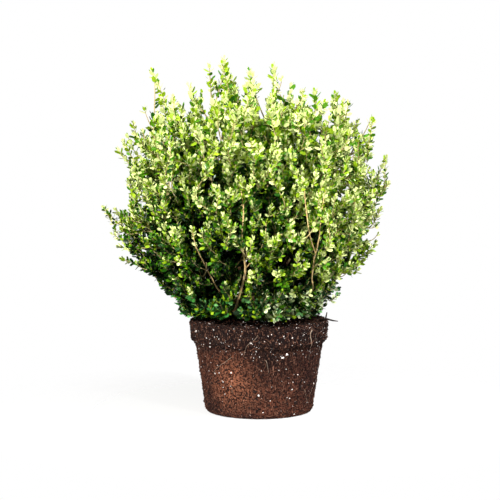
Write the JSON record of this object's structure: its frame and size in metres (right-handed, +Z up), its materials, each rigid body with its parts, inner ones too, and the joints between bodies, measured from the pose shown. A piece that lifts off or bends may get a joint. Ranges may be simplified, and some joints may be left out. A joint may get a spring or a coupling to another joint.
{
  "type": "boxwood shrub on its root ball",
  "caption": "Young bushy boxwood with upright leafy shoots, out of its pot and standing on a root ball that keeps the pot's shape.",
  "frame": {"origin": "centre of the root ball's flat underside", "axes": "+Z up; the side seen in the picture faces -Y, with its right along +X"},
  "size_m": [0.5733, 0.5275, 0.7113],
  "materials": {
    "soil": "moist crumbly mix of bark, coir and fine roots",
    "bark": "tan-brown finely cracked bark",
    "leaves": "small leathery leaves with a soft shine"
  },
  "bodies": {
    "root": {"root_ball": "soil", "trunk": "bark", "bough_leader_1": "bark", "bough_leader_2": "bark", "bough_leader_3": "bark", "bough_middle_1": "bark", "bough_middle_2": "bark", "bough_middle_3": "bark", "bough_middle_4": "bark", "bough_middle_5": "bark", "bough_middle_6": "bark", "bough_outer_1": "bark", "bough_outer_2": "bark", "bough_outer_3": "bark", "bough_outer_4": "bark", "bough_outer_5": "bark", "bough_outer_6": "bark", "bough_outer_7": "bark", "bough_outer_8": "bark", "foliage_leader_1": "leaves", "foliage_leader_2": "leaves", "foliage_leader_3": "leaves", "foliage_middle_1": "leaves", "foliage_middle_2": "leaves", "foliage_middle_3": "leaves", "foliage_middle_4": "leaves", "foliage_middle_5": "leaves", "foliage_middle_6": "leaves", "foliage_outer_1": "leaves", "foliage_outer_2": "leaves", "foliage_outer_3": "leaves", "foliage_outer_4": "leaves", "foliage_outer_5": "leaves", "foliage_outer_6": "leaves", "foliage_outer_7": "leaves", "foliage_outer_8": "leaves", "foliage_skirt_1": "leaves", "foliage_skirt_2": "leaves", "foliage_skirt_3": "leaves", "foliage_skirt_4": "leaves", "foliage_skirt_5": "leaves", "foliage_skirt_6": "leaves", "foliage_skirt_7": "leaves"}
  },
  "joints": []
}
